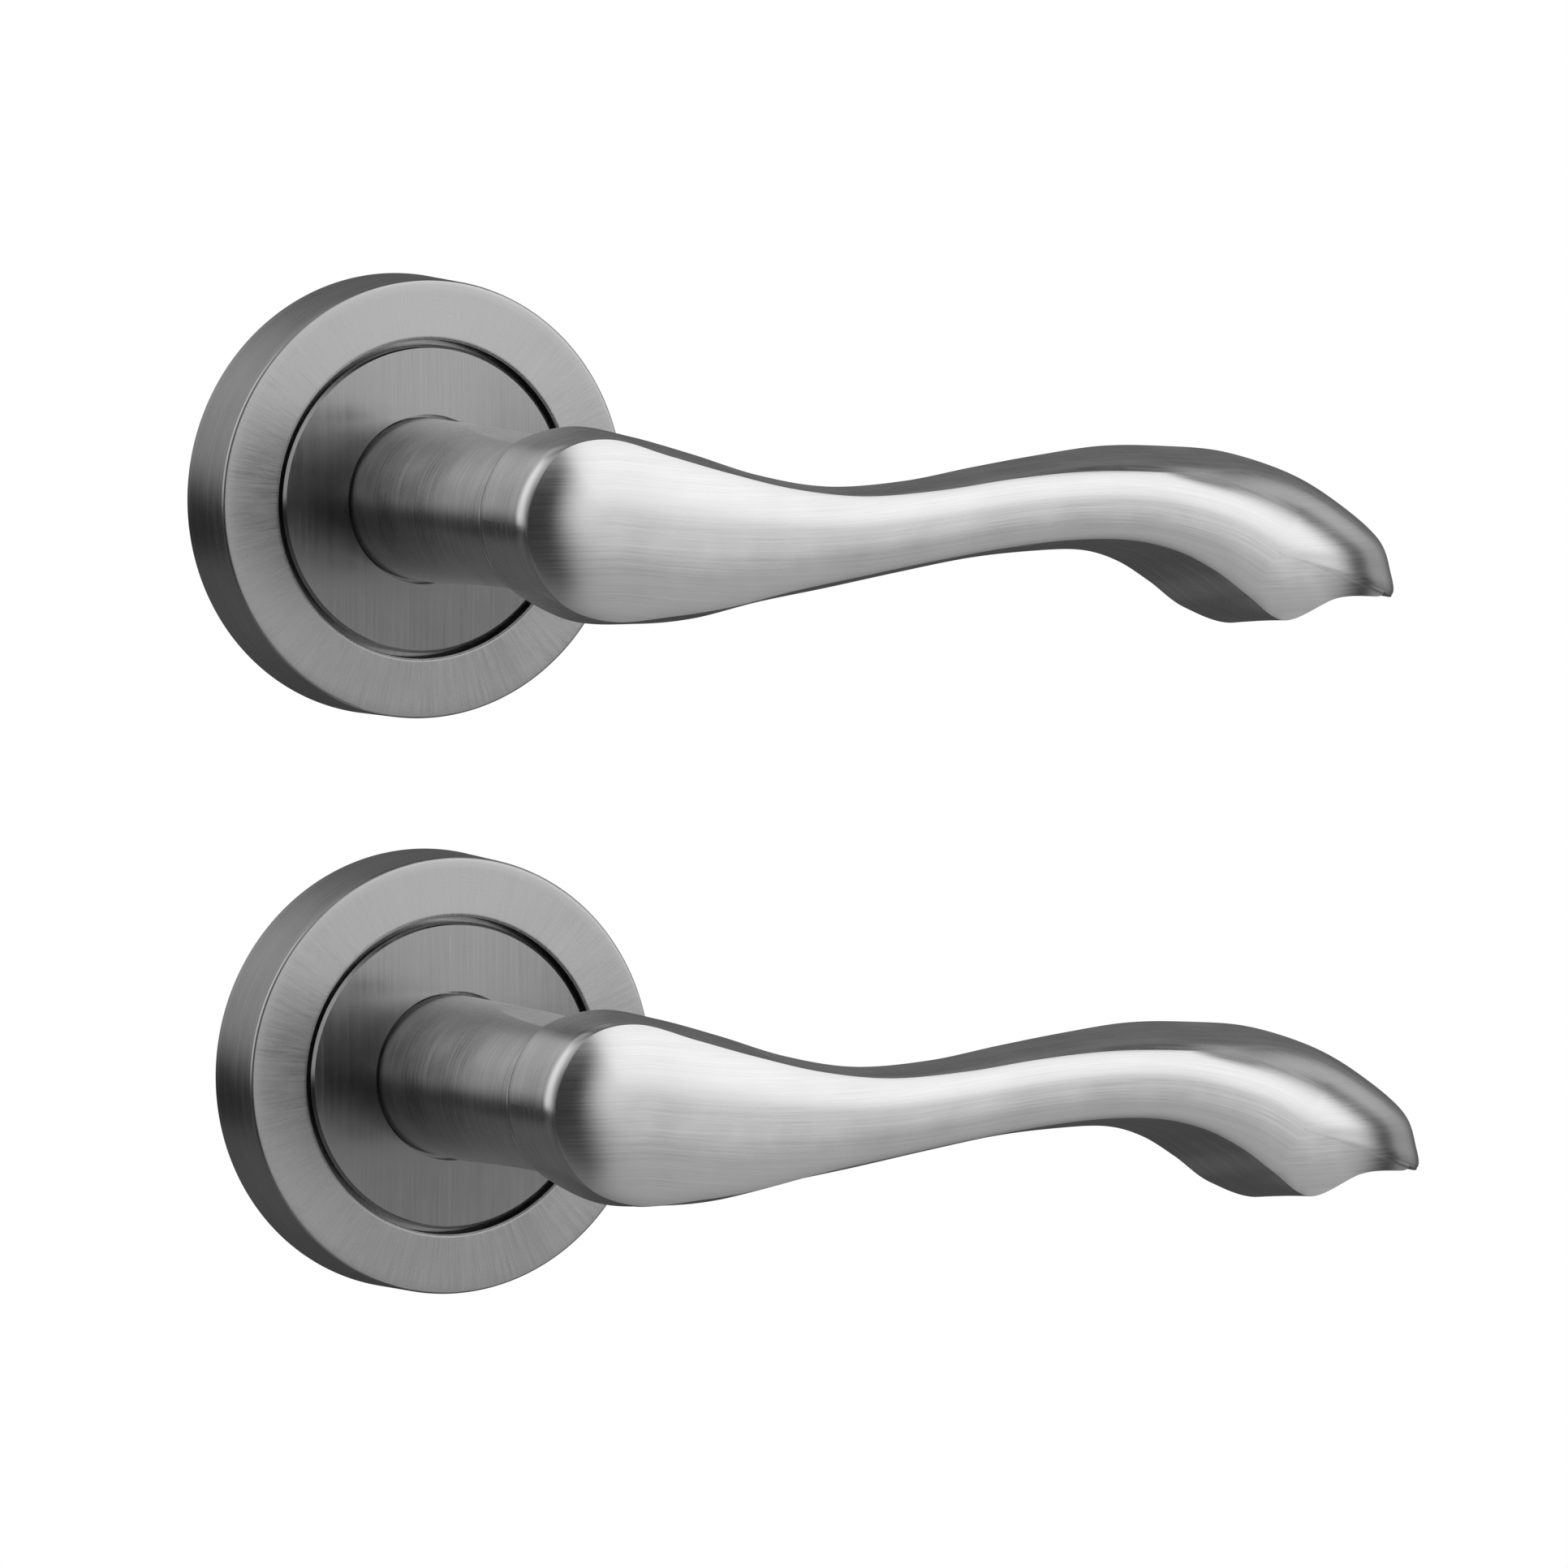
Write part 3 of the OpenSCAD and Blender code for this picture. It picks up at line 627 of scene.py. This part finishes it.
# ---------------------------------------------------------------- neck and journal
def neck(handle, origin):
    """Neck with its two reliefs, the journal, its flats and the spindle socket."""

    def relief_heights(y):
        """How high the neck reaches above and below the axis, between the reliefs."""
        reach = math.sqrt(RELIEF_R ** 2 - (y - RELIEF_Y) ** 2)
        top = min(NECK_R + RELIEF_R - RELIEF_TOP - reach, NECK_R)
        bottom = min(NECK_R + RELIEF_R - RELIEF_BOTTOM - reach, NECK_R)
        return top, bottom

    def ring_at(y, radius):
        """Section of the neck: round at the sides, cut flat by the reliefs."""
        top, bottom = relief_heights(y)
        scale = radius / NECK_R
        top_angle = math.asin(min(top / NECK_R, FULL_ROUND))
        low_angle = math.asin(min(bottom / NECK_R, FULL_ROUND))
        spans = [(-math.pi / 2, -low_angle, NECK_FLAT_POINTS // 2),
                 (-low_angle, top_angle, NECK_ARC_POINTS),
                 (top_angle, math.pi - top_angle, NECK_FLAT_POINTS),
                 (math.pi - top_angle, math.pi + low_angle, NECK_ARC_POINTS),
                 (math.pi + low_angle, 1.5 * math.pi, NECK_FLAT_POINTS // 2)]
        points = []
        for start, end, steps in spans:
            for step in range(steps):
                a = start + (end - start) * step / steps
                px, pz = NECK_R * math.cos(a), NECK_R * math.sin(a)
                points.append((px * scale, -y, max(-bottom, min(top, pz)) * scale, a))
        return points

    # Rows of the neck from the bulb towards the door, as distance from the door and radius
    levels = [(NECK_END, NECK_R)]
    for off, dip in SEAM_ROWS:
        levels.append((SEAM_Y + off * SEAM_HALF, NECK_R - SEAM_DEPTH * dip))
    for y in np.linspace(SEAM_Y - ROW_GAP, SHOULDER_Y + ROW_GAP, NECK_ROWS):
        levels.append((y, NECK_R))
    levels += [(SHOULDER_Y + 0.3, NECK_R), (SHOULDER_Y + 0.1, NECK_R - 0.08),
               (SHOULDER_Y, NECK_R - 0.25)]
    rows = [ring_at(y, r) for y, r in levels]
    angles = np.array([[p[3] for p in row] for row in rows])
    rings = [np.array([p[:3] for p in row]) for row in rows]
    base_angle = np.linspace(-math.pi / 2, 1.5 * math.pi, len(rings[0]), endpoint=False)
    unit = np.column_stack([np.cos(base_angle), np.sin(base_angle)])

    def plain(y, radius, half=JOURNAL_R):
        """Round section, with a flat above and below where half is less than the radius."""
        z = np.clip(unit[:, 1] * radius, -half, half)
        return np.column_stack([unit[:, 0] * radius, np.full(len(unit), -y), z])

    def square(y, half):
        """Section of the spindle's socket."""
        scale = half / np.maximum(np.abs(unit[:, 0]), np.abs(unit[:, 1]))
        return np.column_stack([unit[:, 0] * scale, np.full(len(unit), -y),
                                unit[:, 1] * scale])

    journal = [plain(SHOULDER_Y, JOURNAL_R), plain(SHOULDER_Y - 0.2, JOURNAL_R),
               plain(FLATS_END + 0.1, JOURNAL_R), plain(FLATS_END, JOURNAL_R),
               plain(FLATS_END, JOURNAL_R, FLAT_HALF),
               plain(CIRCLIP_Y[1], JOURNAL_R, FLAT_HALF),
               plain(CIRCLIP_Y[1], CIRCLIP_ROOT, FLAT_HALF),
               plain(CIRCLIP_Y[0], CIRCLIP_ROOT, FLAT_HALF),
               plain(CIRCLIP_Y[0], JOURNAL_R, FLAT_HALF),
               plain(JOURNAL_END + 0.1, JOURNAL_R, FLAT_HALF),
               plain(JOURNAL_END, JOURNAL_R - 0.15, FLAT_HALF - 0.1),
               square(JOURNAL_END, SOCKET_HALF + 0.2), square(JOURNAL_END + 0.2, SOCKET_HALF),
               square(SOCKET_DEPTH / 2, SOCKET_HALF), square(SOCKET_DEPTH, SOCKET_HALF)]
    rings = np.array(rings + journal)
    count, n, _ = rings.shape
    all_angles = np.vstack([angles, np.repeat(base_angle[None, :], len(journal), 0)])
    wrapped = np.column_stack([all_angles, all_angles[:, 0] + 2 * math.pi])
    run = np.concatenate([[0], np.cumsum(np.abs(np.diff([y for y, _ in levels])))])
    run = np.concatenate([run, run[-1] + 1.5 + np.arange(len(journal))])
    uv = np.stack([wrapped * NECK_R, np.repeat(run[:, None], n + 1, 1)], axis=2)
    return grid_mesh(handle + "_neck", rings, origin, {"round": uv}, lambda row: "round",
                     {"first": "fan", "last": "fan"}, [NECK_METAL], lambda row: 0)


def drill(piece, origin):
    """Cuts the grub screw's hole into the underside of the neck."""
    work = bmesh.new()
    bmesh.ops.create_cone(work, cap_ends=True, segments=64, radius1=GRUB_R * MM,
                          radius2=GRUB_R * MM, depth=(NECK_R + 1) * MM)
    tool_mesh = bpy.data.meshes.new("drill")
    work.to_mesh(tool_mesh)
    work.free()
    tool = bpy.data.objects.new("drill", tool_mesh)
    tool.location = Vector(origin) + Vector((0, -GRUB_Y, -(NECK_R + 1) / 2)) * MM
    bpy.context.collection.objects.link(tool)
    cut = piece.modifiers.new("cut", "BOOLEAN")
    cut.operation = "DIFFERENCE"
    cut.solver = "EXACT"
    cut.object = tool
    bpy.context.view_layer.update()
    graph = bpy.context.evaluated_depsgraph_get()
    result = bpy.data.meshes.new_from_object(piece.evaluated_get(graph))
    piece.modifiers.clear()
    piece.data = result
    bpy.data.objects.remove(tool)


# ---------------------------------------------------------------- cover ring and spring
def cover_ring(handle, origin):
    """Cover ring spun about the spindle axis, with a rounded rim and inner shoulder.

    Each row of the profile is a radius, a distance from the door, and 1 on the front face.
    """
    profile = [(RIM_BACK_R - CORNER, 0, 0), (RIM_BACK_R, CORNER, 0)]
    for t in np.linspace(0.06, 1, 10):
        profile.append((RIM_BACK_R - RIM_DRAFT * t, t * (ROSE_T - EDGE_ROUND), 0))
    for a in np.linspace(15, 90, 6):
        profile.append((RIM_R - EDGE_ROUND * (1 - math.cos(math.radians(a))),
                        ROSE_T - EDGE_ROUND * (1 - math.sin(math.radians(a))), 0))
    inner = RING_BORE_R + SHOULDER_W
    for t in np.linspace(0.04, 1, 8):
        r = RIM_R - EDGE_ROUND + (inner - RIM_R + EDGE_ROUND) * t
        profile.append((r, face_height(r), 1))
    for t in np.linspace(0.1, 1, 10):
        r = inner - (SHOULDER_W - 0.12) * t
        profile.append((r, face_height(r) - SHOULDER_DROP * t ** 2.4, 1))
    lip = face_height(RING_BORE_R) - SHOULDER_DROP
    profile += [(RING_BORE_R + 0.05, lip - 0.05, 0), (RING_BORE_R, lip - 0.14, 0),
                (RING_BORE_R, COLLAR_BACK + CORNER, 0),
                (RING_BORE_R + CORNER, COLLAR_BACK, 0),
                (RING_BORE_R + RING_WALL - CORNER, COLLAR_BACK, 0),
                (RING_BORE_R + RING_WALL, COLLAR_BACK + CORNER, 0),
                (RING_BORE_R + RING_WALL, ROSE_T - RING_FACE_T, 0),
                (RIM_R - RING_WALL, ROSE_T - RING_FACE_T, 0),
                (RIM_BACK_R - RING_WALL, CORNER, 0), (RIM_BACK_R - RING_WALL + CORNER, 0, 0),
                (RIM_BACK_R - CORNER, 0, 0)]
    n = RING_SEGMENTS
    angle = np.linspace(0, 2 * math.pi, n, endpoint=False) + RING_START
    rings = np.array([np.column_stack([r * np.cos(angle), np.full(n, -y), r * np.sin(angle)])
                      for r, y, _ in profile])
    wrapped = np.append(angle, angle[0] + 2 * math.pi)
    run = np.concatenate([[0], np.cumsum([math.dist(a[:2], b[:2])
                                          for a, b in zip(profile, profile[1:])])])
    uv = np.stack([np.repeat(wrapped[None, :] * MEAN_FACE_R, len(profile), 0),
                   np.repeat(run[:, None], n + 1, 1)], axis=2)
    kinds = [b[2] for b in profile[1:]]
    return grid_mesh(handle + "_cover_ring_skin", rings, origin, {"round": uv},
                     lambda row: "round", {}, [RIM_METAL, FACE_METAL],
                     lambda row: kinds[row])


def return_spring(handle, origin):
    """Torsion spring of round wire: a coil from its fixed leg to the far leg, which the lever
    turns to wind it up; made here in one pose.
    """
    share = np.concatenate([[0, 0.0006], np.linspace(0.0012, 0.9988, WIRE_ROWS), [0.9994, 1]])
    turned = share * (LEG_ANGLES[1] - LEG_ANGLES[0])
    radius = (COIL_R + (FIXED_LEG_R - COIL_R) * smooth(LEG_REACH - turned, 0, LEG_REACH)
              + (MOVING_LEG_R - COIL_R) * smooth(turned, turned[-1] - LEG_REACH, turned[-1]))
    angle = np.radians(LEG_ANGLES[0] + turned)[:, None]
    y = (COIL_Y[0] + (COIL_Y[1] - COIL_Y[0]) * share)[:, None]
    wire = np.full(len(share), WIRE_R)
    wire[[0, -1]] *= 0.75
    wire[[1, -2]] *= 0.94
    around = np.linspace(0, 2 * math.pi, WIRE_SIDES, endpoint=False)
    out = radius[:, None] + wire[:, None] * np.cos(around)
    rings = np.stack([out * np.cos(angle), wire[:, None] * np.sin(around) - y,
                      out * np.sin(angle)], axis=2)
    along = np.repeat(np.radians(turned)[:, None] * COIL_R, WIRE_SIDES + 1, 1)
    across = np.repeat(np.arange(WIRE_SIDES + 1)[None, :] * WIRE_R, len(share), 0)
    uv = np.stack([along, across], axis=2)
    return grid_mesh(handle + "_return_spring_wire", rings, origin, {"wire": uv},
                     lambda row: "wire", {"first": "fan", "last": "fan"}, [SPRING],
                     lambda row: 0)


# ---------------------------------------------------------------- pieces of both handles
for handle in HANDLES:
    origin = axis_of(handle)
    lever_body = handle + "_handle"

    ring = cover_ring(handle, origin)
    face_out(ring, weld=True)
    sharpen(ring, 35)
    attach(ring, "root")
    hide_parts(handle + "_cover_ring")

    grip_piece = grip(handle, origin)
    face_out(grip_piece)
    neck_piece = neck(handle, origin)
    face_out(neck_piece, weld=True)
    drill(neck_piece, origin)
    sharpen(neck_piece, 5)
    for piece in (grip_piece, neck_piece):
        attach(piece, lever_body)
        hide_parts(handle + "_lever")

    spring = return_spring(handle, origin)
    face_out(spring)
    sharpen(spring, 40)
    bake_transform(spring)
    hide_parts(handle + "_return_spring")

# ---------------------------------------------------------------- carried-over CAD nodes
NODE_METALS = {
    "inner_rose": BOSS_METAL_AND_SHADE, "bearing_bush": NYLON, "back_plate": ZINC,
    "plate_screws": BLACK, "spring_driver": ZINC,
    "wave_washer": SPRING, "circlip": BLACK, "spindle": DRAWN, "grub_screw": BLACK,
}
for handle in HANDLES:
    for part, metal in NODE_METALS.items():
        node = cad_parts[handle + "_" + part]
        node.data.materials.clear()
        node.data.materials.append(metal)

# ---------------------------------------------------------------- studio
# Lights that the metal reflects: where each rises and falls from left to right and from
# bottom to top, in degrees of azimuth and elevation, and its level
KEY_AZIMUTH = ((-7, 20), (58, 76))
FILL_AZIMUTH = ((-75, -50), (-5, 15))
LIGHTS = [
    (KEY_AZIMUTH, ((-5, 1), (46, 64)), 1.2),                       # key softbox
    (KEY_AZIMUTH, ((-65, -40), (-5, 1)), 0.42),                    # its weaker lower half
    (((-145, -105), (-66, -46)), ((-5, 0), (48, 62)), 0.7),        # reflector at the left
    (((80, 90), (110, 128)), ((-30, -10), (50, 70)), 0.24),        # past the key's right edge
    (FILL_AZIMUTH, ((14, 36), (58, 75)), 0.34),                    # fill in front, high
    (FILL_AZIMUTH, ((-92, -91), (-42, -16)), 0.17),                # fill in front, low
    (((-176, -166), (-125, -105)), ((0, 8), (60, 80)), 0.16),      # behind the reflector
]
# The dim room at both sides: darkest along the horizon
ROOM_BASE = 0.03
ROOM_SIDES = (45, 100)
ROOM_LEVELS = [(-18, -12, 0.08, 0.0), (-5, 4, 0.0, 0.14), (8, 30, 0.0, 0.16)]
ROOM_RIGHT = (90, 130, 1.0, 0.5)
# Dark gap above the key's right half
GAP_AZIMUTH = ((36, 58), (108, 130))
GAP_ELEVATION = (38, 54)
GAP_DEPTH = 0.88


def studio_world():
    """White behind the object; softboxes and dark flags for its reflections."""
    world = bpy.data.worlds.new("studio")
    bpy.context.scene.world = world
    world.use_nodes = True
    world.node_tree.nodes.clear()
    g = Graph(world.node_tree)
    direction = g.add("ShaderNodeTexCoord").outputs["Generated"]
    x, y, z = g.add("ShaderNodeSeparateXYZ", Vector=direction).outputs
    toward = g.math("MULTIPLY", y, -1.0)
    azimuth = g.math("MULTIPLY", g.math("ARCTAN2", x, toward), 180 / math.pi)
    elevation = g.math("MULTIPLY", g.math("ARCSINE", z), 180 / math.pi)

    room = 0.0
    for step in ROOM_LEVELS:
        room = g.math("ADD", room, g.ramp(elevation, *step))
    room = g.math("MULTIPLY", room, g.ramp(azimuth, *ROOM_RIGHT))
    sides = g.ramp(g.math("ABSOLUTE", azimuth), *ROOM_SIDES)
    light = g.math("ADD", ROOM_BASE, g.math("MULTIPLY", sides, room))
    for across, upwards, level in LIGHTS:
        patch = g.math("MULTIPLY", g.band(azimuth, *across), g.band(elevation, *upwards))
        light = g.math("ADD", light, g.math("MULTIPLY", patch, level))
    gap = g.math("MULTIPLY", g.band(azimuth, *GAP_AZIMUTH), g.ramp(elevation, *GAP_ELEVATION))
    kept = g.math("SUBTRACT", 1.0, g.math("MULTIPLY", gap, GAP_DEPTH))
    light = g.math("MULTIPLY", light, kept)

    # The camera itself sees exactly white
    shown = g.add("ShaderNodeLightPath").outputs["Is Camera Ray"]
    level = g.math("ADD", shown, g.math("MULTIPLY", light, g.math("SUBTRACT", 1.0, shown)))
    background = g.add("ShaderNodeBackground", Strength=level)
    background.inputs["Color"].default_value = (1, 1, 1, 1)
    output = g.add("ShaderNodeOutputWorld")
    g.tree.links.new(background.outputs[0], output.inputs["Surface"])


def pale_floor():
    """Plain white floor well below the handles. It isn't seen in their reflections."""
    half, drop = FLOOR_HALF, FLOOR_DROP
    mesh = bpy.data.meshes.new("floor")
    mesh.from_pydata([(-half, -half, -drop), (half, -half, -drop), (half, half, -drop),
                      (-half, half, -drop)], [], [(0, 1, 2, 3)])
    floor = bpy.data.objects.new("floor", mesh)
    bpy.context.collection.objects.link(floor)
    material = bpy.data.materials.new("pale_floor")
    material.use_nodes = True
    material.node_tree.nodes.clear()
    g = Graph(material.node_tree)
    glow = g.add("ShaderNodeEmission", Strength=1.0)
    output = g.add("ShaderNodeOutputMaterial")
    g.tree.links.new(glow.outputs[0], output.inputs["Surface"])
    mesh.materials.append(material)
    floor.visible_glossy = False
    floor.visible_diffuse = False
    floor.visible_shadow = False


def camera():
    """Long lens at the studio's viewing angle."""
    data = bpy.data.cameras.new("camera")
    cam = bpy.data.objects.new("camera", data)
    bpy.context.collection.objects.link(cam)
    a, e = math.radians(CAM_AZIMUTH), math.radians(CAM_ELEVATION)
    back = Vector((math.sin(a) * math.cos(e), -math.cos(a) * math.cos(e), math.sin(e)))
    cam.location = (Vector(CAM_TARGET) + back * CAM_DISTANCE) * MM
    cam.rotation_euler = back.to_track_quat("Z", "Y").to_euler()
    data.sensor_width = SENSOR_WIDTH
    data.lens = SENSOR_WIDTH * CAM_DISTANCE / VIEW_WIDTH
    data.clip_start = 0.1
    data.clip_end = 100
    bpy.context.scene.camera = cam


studio_world()
pale_floor()
camera()
bpy.context.scene.view_settings.view_transform = "Standard"
